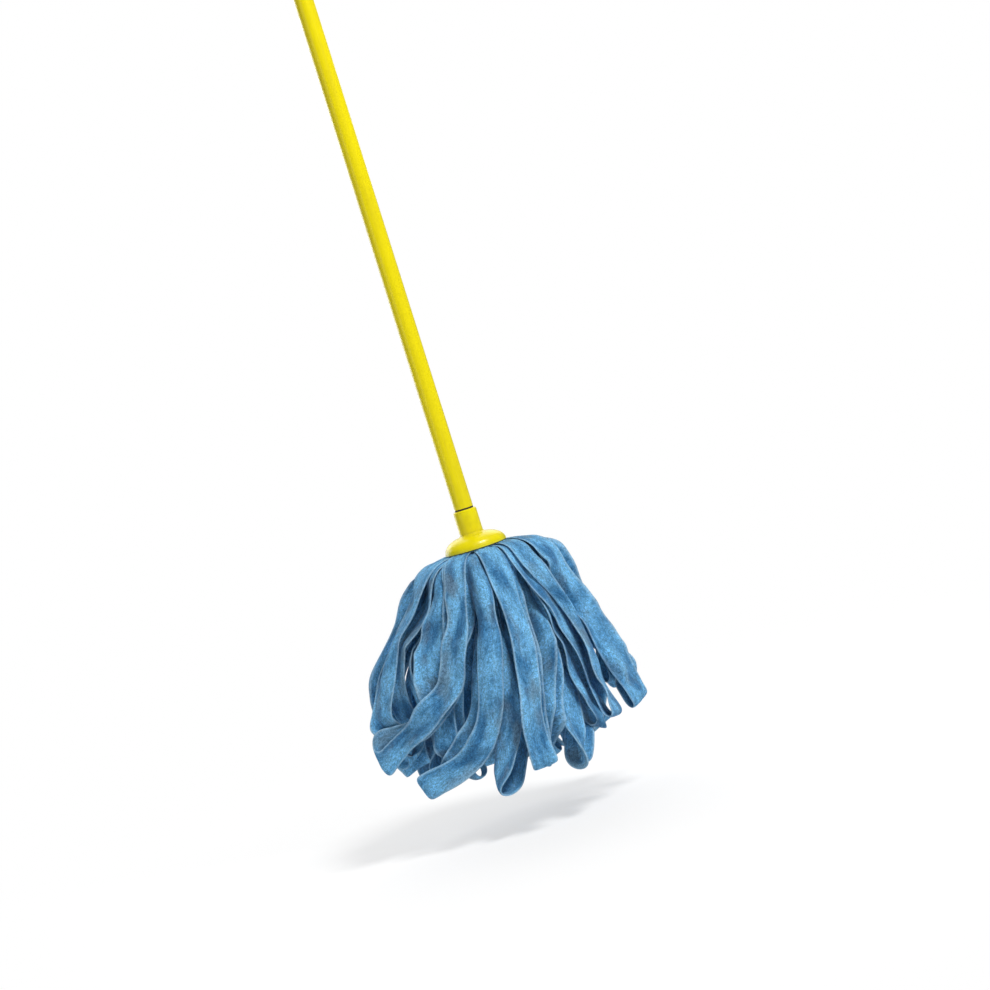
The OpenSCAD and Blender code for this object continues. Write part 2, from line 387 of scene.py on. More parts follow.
def look_up(grid, a, v):
    """A height map at places between its points."""
    col = np.mod(a, 360)
    row = np.clip((v - V_MIN) / V_STEP, 0, V_ROWS - 1.001)
    c0 = np.floor(col).astype(int) % 360
    c1 = (c0 + 1) % 360
    r0 = np.floor(row).astype(int)
    fc = col - np.floor(col)
    fr = row - r0
    upper = grid[c0, r0] * (1 - fc) + grid[c1, r0] * fc
    lower = grid[c0, r0 + 1] * (1 - fc) + grid[c1, r0 + 1] * fc
    return upper * (1 - fr) + lower * fr


def lay(a, v, rise):
    """Heights at which a sheet rests on what lies below it, with its own rise added.

    The sheet bridges hollows: it is smoothed again and again, and lifted back on to what
    it would cut through.
    """
    spacing = SPACING_AT_RIM + (SPACING - SPACING_AT_RIM) * smoothstep((v + 2) / LOOSE_FROM_RIM)
    floor = look_up(heights, a, v) + spacing + rise
    h = floor
    for _ in range(4):
        h = np.maximum(blur(blur(h, 3.0, 0), 1.6, 1), floor)
    return blur(blur(h, 1.2, 0), 0.8, 1)


def finer(grid, factors):
    """The same grid with more points along each axis."""
    for axis, factor in enumerate(factors):
        count = grid.shape[axis]
        places = np.linspace(0, count - 1, factor * count)
        grid = np.apply_along_axis(lambda line: np.interp(places, np.arange(count), line), axis, grid)
    return grid


def raise_heights(a, v, h):
    """Raises the height map to a sheet that has been laid."""
    a, v, h = (finer(grid, (3, 3)) for grid in (a, v, h))
    row0 = np.round((v - V_MIN) / V_STEP).astype(int)
    col0 = np.round(a).astype(int)
    for dr in (-1, 0, 1):
        for dc in (-1, 0, 1):
            rows = np.clip(row0 + dr, 0, V_ROWS - 1)
            np.maximum.at(heights, ((col0 + dc) % 360, rows), h)


# Random bends of a strip: the size of each, and how many steps it is smoothed over.
TWIST = 17                     # about the strip's own length, in degrees
TWIST_BLUR = 6
SWAY = 2.4                     # to its side
SWAY_BLUR = 6
SLACK = 3.5                    # off what it rests on
SLACK_BLUR = 7
CUP = 0.9                      # of its edges against its middle
CUP_BLUR = 12
DENT = 1.35
DENT_BLUR = (3.5, 2.5)
GATHER = 0.55                  # the depth of the gathers at the rim
GATHER_PITCH = 9
NARROWEST = 0.84               # a strip's width at its root, as a share of its full width
FREE_BY = 1 / 3                # the share of a leg by which it is free of its root
FOLD_FROM = 0.68               # the share of a leg where it starts to turn towards its fold
SOFT_FROM = 0.88               # the share of a leg where it is smoothed to meet the other one


class Leg:
    """Where one leg of a strip would lie on the bare bell. It doesn't change between passes."""

    def __init__(self, strip, inner):
        course = COURSES[strip]
        a, v = trace(strip)
        self.share = np.linspace(0, 1, len(a))
        freedom = smoothstep(self.share / FREE_BY)
        fold = smoothstep((self.share - FOLD_FROM) / (1 - FOLD_FROM))
        roll = self.roll(course, fold, freedom)
        width = STRIP_W * (NARROWEST + (1 - NARROWEST) * smoothstep(self.share * 4))
        w = COLUMNS[None, :] * width[:, None] / 2
        drift = ripple(self.share.shape, (SWAY_BLUR,), SWAY) * freedom
        if inner:     # it hangs furthest to the side half way down
            drift += course.side * (0.35 + 0.65 * np.sin(np.pi * np.clip(self.share, 0, 0.93)))
        self.spread(a, v, w * np.cos(roll)[:, None] + drift[:, None])
        gap = 0 if inner else 2 * course.radius * fold
        edge = w * np.sign(roll)[:, None] + width[:, None] / 2
        slack = np.maximum(ripple(roll.shape, (SLACK_BLUR,), SLACK), 0) * freedom
        self.rise = (gap + slack)[:, None] + edge * np.sin(np.abs(roll))[:, None]
        self.crease = self.creases(w) * smoothstep((1 - self.share) * 8)[:, None]
        self.place = bell(self.a, self.v)
        self.out = bell_frame(self.a, self.v)[2]

    def roll(self, course, fold, freedom):
        """How far the strip is turned about its own length, in radians."""
        middle = np.sin(np.pi * smoothstep(self.share / 0.9))
        roll = np.radians(course.roll[0] * middle + course.roll[1] * fold)
        return roll + np.radians(ripple(roll.shape, (TWIST_BLUR,), TWIST)) * freedom

    def spread(self, a, v, flat):
        """Places points on the bell at the distances flat to the side of the strip's middle."""
        across, down, _, rate_a, rate_v, skew = bell_frame(a, v)
        run = unit(np.gradient(bell(a, v), axis=0))
        heading = np.arctan2(np.sum(run * across, 1), np.sum(run * down, 1))
        da = flat * np.cos(heading)[:, None] / rate_a[:, None]
        dv = (-flat * np.sin(heading)[:, None] - da * skew[:, None]) / rate_v[:, None]
        self.a = a[:, None] + da
        self.v = v[:, None] + dv

    def creases(self, w):
        """Gathers near the rim, and dents and a shallow cup that changes its side below them."""
        phase = 2 * np.pi * (w + rng.uniform(0, GATHER_PITCH)) / GATHER_PITCH
        gathers = GATHER * np.cos(phase) * smoothstep(1 - self.v / 70)
        cup = ripple(self.share.shape, (CUP_BLUR,), CUP)[:, None] * (COLUMNS[None, :] ** 2 - 0.4)
        dents = ripple(self.a.shape, DENT_BLUR, DENT)
        return gathers + (cup + dents) * smoothstep(self.v / 60)

    def lie(self):
        """Lays the leg on the sheets below it."""
        self.h = lay(self.a, self.v, self.rise)
        raise_heights(self.a, self.v, self.h)

    def points(self, squeeze):
        """The leg's points, once the pile that it lies in has been squeezed."""
        low = look_up(base, self.a, self.v)
        h = low + (self.h - low) * look_up(squeeze, self.a, self.v)
        end = smoothstep((self.share - SOFT_FROM) / (1 - SOFT_FROM))[:, None]
        h = h * (1 - end) + blur(blur(h, 2, 0), 4, 1) * end
        return self.place + self.out * (h + self.crease)[..., None]


def fold_over(outer, inner):
    """Rows that carry the strip round from the end of the outer leg to the inner one.

    Each line of points follows a Bezier curve that leaves both legs along their own way.
    """
    start, end = outer[-1], inner[-1]
    along_start, along_end = (unit(blur(leg[-1] - leg[-4], 5)) for leg in (outer, inner))
    reach = 0.75 * np.maximum(np.linalg.norm(end - start, axis=-1, keepdims=True), 8)
    past_start = start + reach * along_start
    past_end = end + reach * along_end
    rows = []
    for t in np.linspace(0, 1, 11)[1:-1]:
        left = 1 - t
        near = left ** 3 * start + 3 * left ** 2 * t * past_start
        far = 3 * left * t * t * past_end + t ** 3 * end
        rows.append(near + far)
    return np.array(rows)


def stack_strips():
    """All rows of each strip, from its outer root, over the fold and back to its inner root."""
    order = sorted(STRIPS, key=lambda s: (-layer_of(s), s in LAID_LAST))
    legs = {(strip, inner): Leg(strip, inner) for strip in order for inner in (True, False)}
    for round_number in range(PACKING_PASSES):
        if round_number:
            pack_inwards()
        for strip in order:
            legs[strip, True].lie()
            legs[strip, False].lie()
    squeeze = squeeze_map()
    rows = {}
    for strip in order:
        inner, outer = (legs[strip, which].points(squeeze) for which in (True, False))
        rows[strip] = np.concatenate([outer, fold_over(outer, inner), inner[::-1]])
    return rows


# ---------------------------------------------------------------- meshes

PRESSED = 0.3                  # a strip's thickness at its roots, as a share of its full one
OWN_CLOTH = 1000               # keeps the cloth pattern of each strip apart from the others'
PLEAT = 0.18                   # the depth of the root pack's pleats
TAPE_INSET = 0.12              # how far the tape's faces lie inside the room that it has
DRAWN_IN = 0.1                 # how far each stitch draws them in beyond that
THREAD = 0.28                  # the radius of the thread that sews the tape
THREAD_BELOW = 0.12            # how far its middle lies below the tape


def new_piece(name, verts, faces, lie):
    """A smooth mesh piece. lie holds each point's own place on the cloth, in millimetres."""
    mesh = bpy.data.meshes.new(name)
    mesh.from_pydata((verts * MM).tolist(), [], faces)
    mesh.polygons.foreach_set("use_smooth", [True] * len(mesh.polygons))
    place = mesh.attributes.new("lie", "FLOAT_VECTOR", "POINT")
    place.data.foreach_set("vector", np.asarray(lie, float).ravel())
    piece = bpy.data.objects.new(name, mesh)
    bpy.context.scene.collection.objects.link(piece)
    return piece


def soften(piece):
    """Rounds a piece with one level of subdivision."""
    modifier = piece.modifiers.new("soft", "SUBSURF")
    modifier.levels = 1
    modifier.render_levels = 1


def ring_faces(rows, ring, closed=False):
    """Quads between neighbouring rings of points, joined end to end if closed."""
    faces = []
    for r in range(rows if closed else rows - 1):
        here = r * ring
        there = (r + 1) % rows * ring
        for c in range(ring):
            after = (c + 1) % ring
            faces.append((here + c, here + after, there + after, there + c))
    return faces


def end_faces(base_index, ring):
    """Quads and two triangles that close a flattened ring."""
    faces = []
    for c in range(len(COLUMNS) - 1):
        corners = [c, c + 1, (ring - c - 1) % ring, (ring - c) % ring]
        faces.append(tuple(base_index + k for k in dict.fromkeys(corners)))
    return faces


def half_thickness(count):
    """Half the thickness at each point: pressed thin at both roots, and round at the edges."""
    from_root = np.minimum(np.arange(count), np.arange(count)[::-1]) * STEP
    thick = STRIP_T * (PRESSED + (1 - PRESSED) * smoothstep(from_root / 40))
    section = np.sqrt(1 - np.abs(COLUMNS) ** 6)
    half = 0.5 * thick[:, None] * section[None, :]
    half = half * (1 + ripple(half.shape, (2, 1), 0.12))
    half[:, [0, -1]] = 0
    return half


def both_sides(upper, lower):
    """Rings of points: over the upper face, then back over the lower one without its edges."""
    return np.concatenate([upper, lower[:, -2:0:-1]], 1)


def make_ribbon(strip, rows):
    """A closed ribbon of soft, rounded section round a grid of middle points."""
    normal = unit(np.cross(np.gradient(rows, axis=1), np.gradient(rows, axis=0)))
    count = len(rows)
    half = half_thickness(count)
    verts = both_sides(rows + normal * half[..., None], rows - normal * half[..., None])
    across = np.tile(COLUMNS * STRIP_W / 2, (count, 1))
    own_cloth = OWN_CLOTH * int(strip[-2:])
    along = np.tile(np.arange(count)[:, None] * STEP + own_cloth, (1, len(COLUMNS)))
    lie = both_sides(np.stack([across, along, half], -1), np.stack([across, along, -half], -1))
    ring = verts.shape[1]
    faces = ring_faces(count, ring) + end_faces(0, ring) + end_faces((count - 1) * ring, ring)
    piece = new_piece(strip + "_ribbon", verts.reshape(-1, 3), faces, lie.reshape(-1, 3))
    soften(piece)
    return piece


def hang(piece, strip):
    """Bakes the ribbon's placement into its mesh and hides the strip's own node."""
    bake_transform(piece)
    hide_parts(strip)


def make_ring(name, section, count, offset):
    """A ring swept round the handle's axis. offset gives each point's way out of the section."""
    turn = np.linspace(0, 2 * np.pi, count, endpoint=False)[:, None]
    section = np.asarray(section, float)
    middle = section.mean(0)
    way = offset(turn, np.arange(len(section))[None])
    points = section[None] + unit(section - middle)[None] * way[..., None]
    r = points[..., 0]
    z = points[..., 1]
    verts = np.stack([r * np.cos(turn), r * np.sin(turn), z], -1)
    lie = np.stack([np.broadcast_to(turn * middle[0], r.shape), r, z], -1)
    faces = [face[::-1] for face in ring_faces(count, len(section), closed=True)]
    return new_piece(name, verts.reshape(-1, 3), faces, lie.reshape(-1, 3))


def ring_room(node, past_plate):
    """A ring's inner and outer radius and its lowest and highest z, from the node's box.

    The inner radius is given by how far the ring starts past the clamp plate's own edge.
    """
    low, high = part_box(node)
    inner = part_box("clamp_plate")[1].x / MM + past_plate
    return inner, high.x / MM, low.z / MM, high.z / MM


def make_root_pack():
    """The strips' ends, gathered into pleats between the dome and the plate."""
    inner, outer, low, high = ring_room("root_pack", -3)
    neat = outer - 3
    under_rim = RIM_Z - 0.7
    # Outwards along the top, down under the rim to the outer edge, and back along the plate.
    section = [(inner, high), (inner + 4, high), (neat - 4.5, high),
               (neat - 2, 0.5 * (high + RIM_Z)), (neat, under_rim),
               (outer - 0.6, under_rim - 0.1), (outer, 0.5 * (under_rim + low)),
               (outer - 0.6, low + 0.2), (outer - 4, low), (inner + 3, low), (inner, low)]
    pleats = 3 * len(STRIPS)
    count = pleats * 8
    wander = ripple((count,), (6,), 0.7)

    def offset(turn, k):
        lag = np.interp(turn, np.linspace(0, 2 * np.pi, count), wander)
        return PLEAT * (np.sin(pleats * turn + lag) - 1) + PLEAT / 3 * np.sin(29 * turn + k)

    piece = make_ring("root_pleats", section, count, offset)
    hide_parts("root_pack")
    return piece


def make_tape():
    """A flat woven tape, slightly drawn in at each stitch."""
    inner, outer, low, high = ring_room("binding_tape", 1)
    middle_r = (inner + outer) / 2
    middle_z = (low + high) / 2
    round_edge = 0.3
    section = [(inner, middle_z), (inner + round_edge, high), (middle_r, high),
               (outer - round_edge, high), (outer, middle_z), (outer - round_edge, low),
               (middle_r, low), (inner + round_edge, low)]

    def offset(turn, _):
        return -TAPE_INSET - DRAWN_IN * np.cos(2 * len(STRIPS) * turn)

    piece = make_ring("binding_tape_woven", section, 10 * len(STRIPS), offset)
    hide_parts("binding_tape")
    return piece


def make_stitches():
    """One thread that zigzags round the tape."""
    inner, outer, low, _ = ring_room("binding_tape", 1)
    count = 24 * len(STRIPS)
    sides = 6
    turn = np.linspace(0, 2 * np.pi, count, endpoint=False)
    zigzag = 2 / np.pi * np.arcsin(0.96 * np.sin(2 * len(STRIPS) * turn))
    r = (inner + outer) / 2 + 0.36 * (outer - inner) * zigzag
    path = np.stack([r * np.cos(turn), r * np.sin(turn), np.full(count, low - THREAD_BELOW)], -1)
    run = unit(np.roll(path, -1, 0) - np.roll(path, 1, 0))
    up = np.array([0.0, 0.0, 1.0])
    side = unit(np.cross(run, up))
    t = np.linspace(0, 2 * np.pi, sides, endpoint=False)
    around = side[:, None] * np.cos(t)[None, :, None] + up * np.sin(t)[None, :, None]
    verts = path[:, None] + THREAD * around
    shape = (count, sides)
    lie = np.stack([np.broadcast_to(t * THREAD, shape),
                    np.broadcast_to(turn[:, None] * outer, shape), np.zeros(shape)], -1)
    faces = [face[::-1] for face in ring_faces(count, sides, closed=True)]
    piece = new_piece("binding_stitches", verts.reshape(-1, 3), faces, lie.reshape(-1, 3))
    return piece


# ---------------------------------------------------------------- materials

def srgb(red, green, blue):
    """A colour as it is seen, from 0 to 255 each, as a shader takes it."""
    levels = [c / 255 for c in (red, green, blue)]
    return tuple(c / 12.92 if c <= 0.04045 else ((c + 0.055) / 1.055) ** 2.4 for c in levels) + (1,)


FLEECE_MID = srgb(56, 115, 163)
FLEECE_LIGHT = srgb(118, 186, 231)
FLEECE_GREY = srgb(108, 124, 134)
FLEECE_DEEP = srgb(40, 86, 128)
# The pale edge colour: paler fuzz, with a painted highlight where the rolled edges catch the light.
FLEECE_EDGE_FUZZ_AND_HIGHLIGHT = srgb(172, 212, 238)
FLEECE_SHEEN = srgb(190, 214, 230)
MOULDING_LIGHT = srgb(230, 215, 0)
MOULDING_DARK = srgb(220, 204, 0)
# The darker colour for the hollow where the neck meets the dome.
MOULDING_HOLLOW_DARK = srgb(176, 158, 60)
MOULDING_WORN = srgb(244, 236, 120)
JACKET_LIGHT = srgb(230, 214, 0)
JACKET_DARK = srgb(217, 199, 0)
JACKET_SOILED = srgb(206, 188, 20)
RUBBER = srgb(40, 34, 22)
RUBBER_BLOOM = srgb(70, 64, 48)
BLACK_PLASTIC = srgb(30, 30, 31)
BLACK_PLASTIC_RUBBED = srgb(92, 92, 92)
NATURAL_LIGHT = srgb(232, 228, 212)
NATURAL_DARK = srgb(214, 208, 186)
STEEL_LIGHT = srgb(196, 198, 202)
STEEL_DARK = srgb(166, 168, 172)
STEEL_RUST = srgb(120, 92, 70)
TAPE_LIGHT = srgb(216, 212, 196)
TAPE_DARK = srgb(168, 163, 146)
TAPE_SOILED = srgb(140, 150, 152)

NECK_FOOT = 16                 # how far above the rim the neck meets the dome
THREAD_PITCH = 1.1             # the tape's weave


class Look:
    """A material, with short ways to add nodes to it.

    Places are in millimetres, so a noise's scale is in features to the millimetre.
    """

    def __init__(self, name):
        self.material = bpy.data.materials.new(name)
        self.material.use_nodes = True
        self.tree = self.material.node_tree
        self.shader = self.tree.nodes["Principled BSDF"]

    def put(self, socket, value):
        """Gives a socket a value, or links it to another node's output."""
        if isinstance(value, bpy.types.NodeSocket):
            self.tree.links.new(value, socket)
        else:
            socket.default_value = value

    def node(self, kind, inputs, **settings):
        """A new node with those inputs and settings."""
        node = self.tree.nodes.new("ShaderNode" + kind)
        for key, value in settings.items():
            setattr(node, key, value)
        for key, value in inputs.items():
            self.put(node.inputs[key], value)
        return node

    def surface(self, **values):
        """Sets the shader's inputs, whose names are written with _ for a space."""
        for key, value in values.items():
            self.put(self.shader.inputs[key.replace("_", " ")], value)

    def cloth_place(self):
        """A point's own place on the cloth: across it, along it and through it."""
        return self.node("Attribute", {}, attribute_name="lie").outputs["Vector"]

    def place(self):
        """Millimetres in the object's own frame."""
        metres = self.node("TexCoord", {}).outputs["Object"]
        return self.stretch(metres, (1 / MM, 1 / MM, 1 / MM))

    def stretch(self, where, factors):
        return self.node("VectorMath", {0: where, 1: factors}, operation="MULTIPLY").outputs[0]

    def parts(self, where):
        return self.node("SeparateXYZ", {0: where}).outputs

    def noise(self, where, scale, detail=3, roughness=0.55):
        inputs = {"Vector": where, "Scale": scale, "Detail": detail, "Roughness": roughness}
        return self.node("TexNoise", inputs).outputs["Fac"]

    def maths(self, operation, a, b=0.0):
        return self.node("Math", {0: a, 1: b}, operation=operation).outputs[0]

    def span(self, value, low, high, to_low=0.0, to_high=1.0):
        """A soft ramp: to_low where value is low, and to_high where it is high."""
        inputs = {"Value": value, "From Min": low, "From Max": high,
                  "To Min": to_low, "To Max": to_high}
        return self.node("MapRange", inputs, interpolation_type="SMOOTHSTEP").outputs["Result"]

    def near(self, value, target, full, none):
        """1 where value is nearer to target than full, and 0 where it is beyond none."""
        apart = self.maths("ABSOLUTE", self.maths("SUBTRACT", value, target))
        return self.span(apart, full, none, 1, 0)

    def blend(self, factor, a, b, how="MIX"):
        node = self.node("Mix", {0: factor, 6: a, 7: b}, data_type="RGBA", blend_type=how)
        return node.outputs[2]

    def shade(self, value, low, high):
        """A grey between two levels, to multiply a colour by."""
        grey = self.span(value, 0.3, 0.7, low, high)
        return self.node("CombineXYZ", {0: grey, 1: grey, 2: grey}).outputs[0]

    def bump(self, height, distance, strength=1.0, below=None):
        inputs = {"Height": height, "Distance": distance * MM, "Strength": strength}
        if below is not None:
            inputs["Normal"] = below
        return self.node("Bump", inputs).outputs[0]


def fleece_look():
    """Brushed microfibre: heathered blue, with grey blotches, pale edges and a nap; the pale edges
    are paler fuzz with a painted highlight where the rolled edges catch the light.
    """
    look = Look("fleece")
    where = look.cloth_place()
    drawn_out = look.stretch(where, (1, 0.35, 1))
    cloud = look.noise(drawn_out, 0.06)
    colour = look.blend(look.span(cloud, 0.32, 0.68), FLEECE_MID, FLEECE_LIGHT)
    blotch = look.noise(look.stretch(where, (1, 0.5, 1)), 0.035)
    colour = look.blend(look.span(blotch, 0.5, 0.68, 0, 0.55), colour, FLEECE_GREY)
    deep = look.noise(drawn_out, 0.11, roughness=0.6)
    colour = look.blend(look.span(deep, 0.52, 0.8, 0, 0.16), colour, FLEECE_DEEP)

    fibre = look.noise(look.stretch(where, (1, 0.55, 1)), 0.55, detail=4, roughness=0.75)
    colour = look.blend(1.0, colour, look.shade(fibre, 0.6, 1.38), "MULTIPLY")
    speck = look.noise(where, 1.0, detail=2, roughness=0.7)
    colour = look.blend(1.0, colour, look.shade(speck, 0.68, 1.34), "MULTIPLY")

    # Paler along the edges: partly the fuzz's own paler colour, partly a painted highlight where the
    # rolled edges catch the light, broken up in patches by the fibre noise.
    from_middle = look.maths("ABSOLUTE", look.parts(where)[0])
    rubbed = look.span(fibre, 0.3, 0.62, 0.35, 1)
    edge = look.maths("MULTIPLY", look.span(from_middle, 12.2, 14.8, 0, 0.66), rubbed)
    colour = look.blend(edge, colour, FLEECE_EDGE_FUZZ_AND_HIGHLIGHT)

    nap = look.bump(look.noise(where, 0.9, detail=4, roughness=0.75), 1.3)
    nap = look.bump(cloud, 2.5, 0.8, nap)
    look.surface(Base_Color=colour, Roughness=look.span(fibre, 0.3, 0.7, 0.86, 1.0), Normal=nap)
    look.surface(Sheen_Weight=0.2, Sheen_Roughness=0.5, Sheen_Tint=FLEECE_SHEEN)
    look.surface(Specular_IOR_Level=0.12)
    return look.material


def moulded_look():
    """A glossy yellow moulding: mottle, fine grain, a parting line, rubbed rims, and a patchy darker
    band in the hollow where the neck meets the dome.
    """
    look = Look("yellow_moulding")
    where = look.place()
    x, _, z = look.parts(where)
    mottle = look.noise(where, 0.08, roughness=0.5)
    colour = look.blend(look.span(mottle, 0.35, 0.65), MOULDING_LIGHT, MOULDING_DARK)

    # A patchy darker band in the hollow where the neck meets the dome.
    hollow = look.near(z, RIM_Z + NECK_FOOT, 0, 4)
    in_patches = look.span(look.noise(where, 0.5, detail=4, roughness=0.7), 0.35, 0.7)
    hollow_dark = look.maths("MULTIPLY", hollow, in_patches)
    colour = look.blend(look.maths("MULTIPLY", hollow_dark, 0.5), colour, MOULDING_HOLLOW_DARK)

    rim = look.near(z, RIM_Z, 0.5, 2.5)
    streaks = look.stretch(where, (1, 1, 0.25))
    scuff = look.span(look.noise(streaks, 0.8, detail=6, roughness=0.75), 0.58, 0.72)
    worn = look.maths("MAXIMUM", look.maths("MULTIPLY", rim, 0.6), scuff)
    colour = look.blend(look.maths("MULTIPLY", worn, 0.25), colour, MOULDING_WORN)

    shine = look.span(mottle, 0.3, 0.7, 0.27, 0.33)
    shine = look.maths("ADD", shine, look.maths("MULTIPLY", worn, 0.18))
    parting_line = look.span(look.maths("ABSOLUTE", x), 0.05, 0.22)
    normal = look.bump(parting_line, 0.06, 0.6)
    normal = look.bump(look.noise(where, 3.0, roughness=0.6), 0.02, 0.6, normal)
    look.surface(Base_Color=colour, Roughness=shine, Normal=normal)
    look.surface(Coat_Weight=0.05, Specular_IOR_Level=0.28)
    return look.material


def jacket_look():
    """The handle's plastic sleeve: drawn lengthwise, glossy, duller where hands hold it."""
    look = Look("jacket")
    where = look.place()
    streak = look.noise(look.stretch(where, (1, 1, 0.01)), 0.9, detail=4, roughness=0.6)
    tint = look.noise(look.stretch(where, (1, 1, 0.12)), 0.08)
    colour = look.blend(look.span(streak, 0.35, 0.7, 0, 0.5), JACKET_LIGHT, JACKET_DARK)
    colour = look.blend(look.span(tint, 0.45, 0.7, 0, 0.35), colour, JACKET_SOILED)

    scratches = look.noise(look.stretch(where, (1, 1, 0.06)), 2.2, detail=6, roughness=0.8)
    scratch = look.span(scratches, 0.6, 0.7)
    height = look.parts(where)[2]
    held = look.maths("MULTIPLY", look.span(height, 600, 900), look.span(tint, 0.4, 0.7))
    dull = look.maths("MULTIPLY", look.maths("ADD", scratch, held), 0.14)
    shine = look.maths("ADD", look.span(streak, 0.3, 0.7, 0.26, 0.34), dull)

    normal = look.bump(streak, 0.05, 0.5)
    normal = look.bump(look.noise(where, 1.4), 0.04, 0.5, normal)
    look.surface(Base_Color=colour, Roughness=shine, Normal=normal)
    look.surface(Coat_Weight=0.1, Coat_Roughness=0.12, Specular_IOR_Level=0.3)
    return look.material


def rubber_look():
    """Dark rubber with a pale bloom."""
    look = Look("seal_rubber")
    where = look.place()
    bloom = look.noise(where, 0.5, detail=5, roughness=0.7)
    colour = look.blend(look.span(bloom, 0.4, 0.7), RUBBER, RUBBER_BLOOM)
    grain = look.bump(look.noise(where, 3, detail=4, roughness=0.7), 0.05)
    shine = look.span(bloom, 0.3, 0.7, 0.6, 0.85)
    look.surface(Base_Color=colour, Roughness=shine, Normal=grain)
    return look.material


def black_plastic_look():
    """Black plastic, rubbed grey on the crests of its thread."""
    look = Look("black_plastic")
    where = look.place()
    rub = look.noise(look.stretch(where, (1, 1, 3)), 0.7, detail=5, roughness=0.7)
    crest = look.span(look.node("NewGeometry", {}).outputs["Pointiness"], 0.51, 0.56)
    rubbed = look.maths("MULTIPLY", crest, look.span(rub, 0.4, 0.7))
    colour = look.blend(rubbed, BLACK_PLASTIC, BLACK_PLASTIC_RUBBED)
    grain = look.bump(look.noise(where, 3.5, roughness=0.6), 0.03)
    shine = look.span(rub, 0.3, 0.7, 0.38, 0.56)
    look.surface(Base_Color=colour, Roughness=shine, Normal=grain)
    return look.material


def natural_plastic_look():
    """Undyed plastic, which is cloudy and lets a little light through."""
    look = Look("natural_plastic")
    where = look.place()
    flow = look.noise(look.stretch(where, (1, 1, 0.5)), 0.12, detail=4, roughness=0.6)
    colour = look.blend(look.span(flow, 0.35, 0.65), NATURAL_LIGHT, NATURAL_DARK)
    grain = look.bump(look.noise(where, 2.5), 0.04)
    shine = look.span(flow, 0.3, 0.7, 0.4, 0.55)
    look.surface(Base_Color=colour, Roughness=shine, Normal=grain)
    look.surface(Subsurface_Weight=0.3, Subsurface_Radius=(0.003, 0.003, 0.002))
    return look.material


def steel_look():
    """Drawn steel with a few rust stains."""
    look = Look("steel")
    where = look.place()
    drawn = look.noise(look.stretch(where, (1, 1, 0.04)), 2.4, detail=5, roughness=0.7)
    stain = look.span(look.noise(where, 0.35, detail=5, roughness=0.7), 0.6, 0.72, 0, 0.7)
    colour = look.blend(look.span(drawn, 0.3, 0.7), STEEL_LIGHT, STEEL_DARK)
    colour = look.blend(stain, colour, STEEL_RUST)
    shine = look.span(drawn, 0.3, 0.7, 0.24, 0.42)
    look.surface(Base_Color=colour, Metallic=1.0, Roughness=shine, Normal=look.bump(drawn, 0.03))
    return look.material


def woven_look():
    """A plain weave of undyed thread."""
    look = Look("woven_tape")
    where = look.cloth_place()
    along, over, _ = look.parts(where)
    per_thread = 2 * math.pi / THREAD_PITCH
    warp = look.maths("SINE", look.maths("MULTIPLY", along, per_thread))
    weft = look.maths("SINE", look.maths("MULTIPLY", over, per_thread))
    weave = look.span(look.maths("MULTIPLY", warp, weft), -1, 1)
    soil = look.noise(where, 0.25, detail=4, roughness=0.6)
    colour = look.blend(weave, TAPE_DARK, TAPE_LIGHT)
    colour = look.blend(look.span(soil, 0.45, 0.7, 0, 0.5), colour, TAPE_SOILED)
    shine = look.span(weave, 0, 1, 0.95, 0.8)
    look.surface(Base_Color=colour, Roughness=shine, Normal=look.bump(weave, 0.25))
    look.surface(Sheen_Weight=0.2)
    return look.material


SMOOTH_UP_TO = math.radians(32)     # faces that meet at less than this are shaded as one


def dress_nodes():
    """Gives each of the frame's own nodes its material and smooths its round faces."""
    moulding = moulded_look()
    steel = steel_look()
    looks = {
        "handle_jacket": jacket_look(),
        "handle_tube": steel,
        "threaded_tip": black_plastic_look(),
        "hanging_cap": moulding,
        "seat_ring": rubber_look(),
        "socket": moulding,
        "clamp_plate": natural_plastic_look(),
        "clamp_screw": steel,
        "clamp_washer": steel,
    }
    for name, look in looks.items():
        mesh = frame["nodes"][name].data
        mesh.materials.clear()
        mesh.materials.append(look)
        mesh.polygons.foreach_set("use_smooth", [True] * len(mesh.polygons))
        mesh.set_sharp_from_angle(angle=SMOOTH_UP_TO)


# ---------------------------------------------------------------- stage

# Lengths are in metres here.
VIEW_TILT = math.radians(17.46)     # how far the handle leans in the picture
VIEW_ELEVATION = math.radians(2.5)
DISTANCE = 2.4
FRAME_WIDTH = 1.125            # what the picture takes in at the head's distance
TARGET_RIGHT = 0.0216          # the picture's middle, from the middle of the rim
TARGET_UP = 0.0591
SIGHT = 200                    # how far the camera sees
SENSOR = 36                    # the width of its sensor, which is in millimetres
FLOOR_BELOW = 0.03             # the gap between the strips and the floor
FLOOR_REACH = 60
FADE_FROM = 0.3                # the floor fades to white between these distances
FADE_TO = 1.1
FADE_LEAST = 0.55              # the share of white where the fade starts
WORLD_LIGHT = 0.22
LAMPS_AIM = Vector((0, 0, -0.15))
LAMPS = {                      # where, size and power, in watts
    "key": ((1.4, -1.5, 2.5), 0.9, 96),
    "fill": ((-2.2, -1.6, 0.6), 1.6, 7),
    "rim": ((0, 2.6, 2.0), 3.2, 52),
    "back": ((-1.8, 2.2, 0.6), 2.0, 34),
}


def link(name, data):
    """A new object in the scene that shows the data."""
    thing = bpy.data.objects.new(name, data)
    bpy.context.scene.collection.objects.link(thing)
    return thing


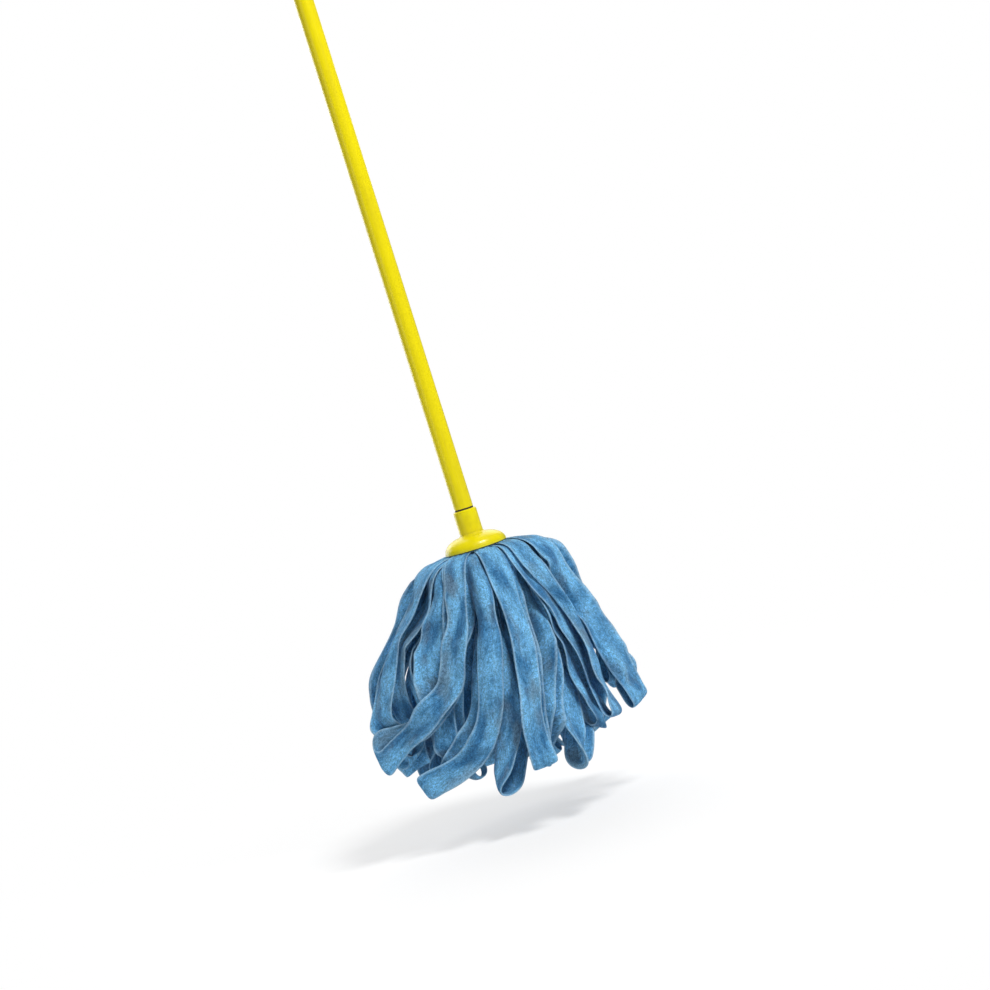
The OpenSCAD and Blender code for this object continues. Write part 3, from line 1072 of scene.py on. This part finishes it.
def make_camera():
    """The photo's view: from the front, a little above, with the handle's top to the left."""
    data = bpy.data.cameras.new("camera")
    data.sensor_width = SENSOR
    data.lens = SENSOR * DISTANCE / FRAME_WIDTH
    data.clip_end = SIGHT
    back = Vector((0, -math.cos(VIEW_ELEVATION), math.sin(VIEW_ELEVATION)))
    level = Vector((1, 0, 0))
    upright = back.cross(level)
    right = level * math.cos(VIEW_TILT) - upright * math.sin(VIEW_TILT)
    up = level * math.sin(VIEW_TILT) + upright * math.cos(VIEW_TILT)
    target = Vector((0, 0, RIM_Z * MM)) + right * TARGET_RIGHT + up * TARGET_UP
    turn = Matrix((right, up, back)).transposed().to_4x4()
    camera = link("camera", data)
    camera.matrix_world = Matrix.Translation(target + back * DISTANCE) @ turn
    bpy.context.scene.camera = camera


def make_floor():
    """A pale floor that fades into the white background away from the mop."""
    z = cad_bounds[0].z - FLOOR_BELOW
    signs = ((-1, -1), (1, -1), (1, 1), (-1, 1))
    corners = [(FLOOR_REACH * x, FLOOR_REACH * y, z) for x, y in signs]
    mesh = bpy.data.meshes.new("floor")
    mesh.from_pydata(corners, [], [(0, 1, 2, 3)])
    look = Look("floor")
    look.surface(Base_Color=(0.9, 0.9, 0.9, 1), Roughness=0.9, Specular_IOR_Level=0.1)
    position = look.node("NewGeometry", {}).outputs["Position"]
    away = look.node("VectorMath", {0: position}, operation="LENGTH").outputs["Value"]
    seen = look.node("LightPath", {}).outputs["Is Camera Ray"]
    fade = look.maths("MULTIPLY", look.span(away, FADE_FROM, FADE_TO, FADE_LEAST, 1.0), seen)
    white = look.node("Emission", {"Color": (1, 1, 1, 1), "Strength": 1.0})
    mixed = look.node("MixShader", {0: fade, 1: look.shader.outputs[0], 2: white.outputs[0]})
    look.put(look.tree.nodes["Material Output"].inputs["Surface"], mixed.outputs[0])
    mesh.materials.append(look.material)
    link("floor", mesh)


def make_light(name, where, size, power):
    """A soft square lamp that faces the mop's head."""
    data = bpy.data.lights.new(name, "AREA")
    data.size = size
    data.energy = power
    lamp = link(name, data)
    lamp.location = where
    lamp.rotation_mode = "QUATERNION"
    lamp.rotation_quaternion = (LAMPS_AIM - Vector(where)).to_track_quat("-Z", "Y")


def make_world():
    """White to the camera, and a dimmer white as a light."""
    world = bpy.data.worlds.new("world")
    bpy.context.scene.world = world
    world.use_nodes = True
    nodes = world.node_tree.nodes
    links = world.node_tree.links
    glow = nodes["Background"]
    glow.inputs["Color"].default_value = (1, 1, 1, 1)
    glow.inputs["Strength"].default_value = WORLD_LIGHT
    seen = nodes.new("ShaderNodeBackground")
    seen.inputs["Color"].default_value = (1, 1, 1, 1)
    pick = nodes.new("ShaderNodeMixShader")
    links.new(nodes.new("ShaderNodeLightPath").outputs["Is Camera Ray"], pick.inputs[0])
    links.new(glow.outputs[0], pick.inputs[1])
    links.new(seen.outputs[0], pick.inputs[2])
    links.new(pick.outputs[0], nodes["World Output"].inputs["Surface"])


# ---------------------------------------------------------------- build

dress_nodes()
fleece = fleece_look()
for strip, rows in stack_strips().items():
    ribbon = make_ribbon(strip, rows)
    ribbon.data.materials.append(fleece)
    hang(ribbon, strip)
woven = woven_look()
for piece, look in ((make_root_pack(), fleece), (make_tape(), woven), (make_stitches(), woven)):
    piece.data.materials.append(look)
    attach(piece, "head")

make_camera()
make_floor()
for name, (where, size, power) in LAMPS.items():
    make_light(name, where, size, power)
make_world()
bpy.context.scene.view_settings.view_transform = "Standard"
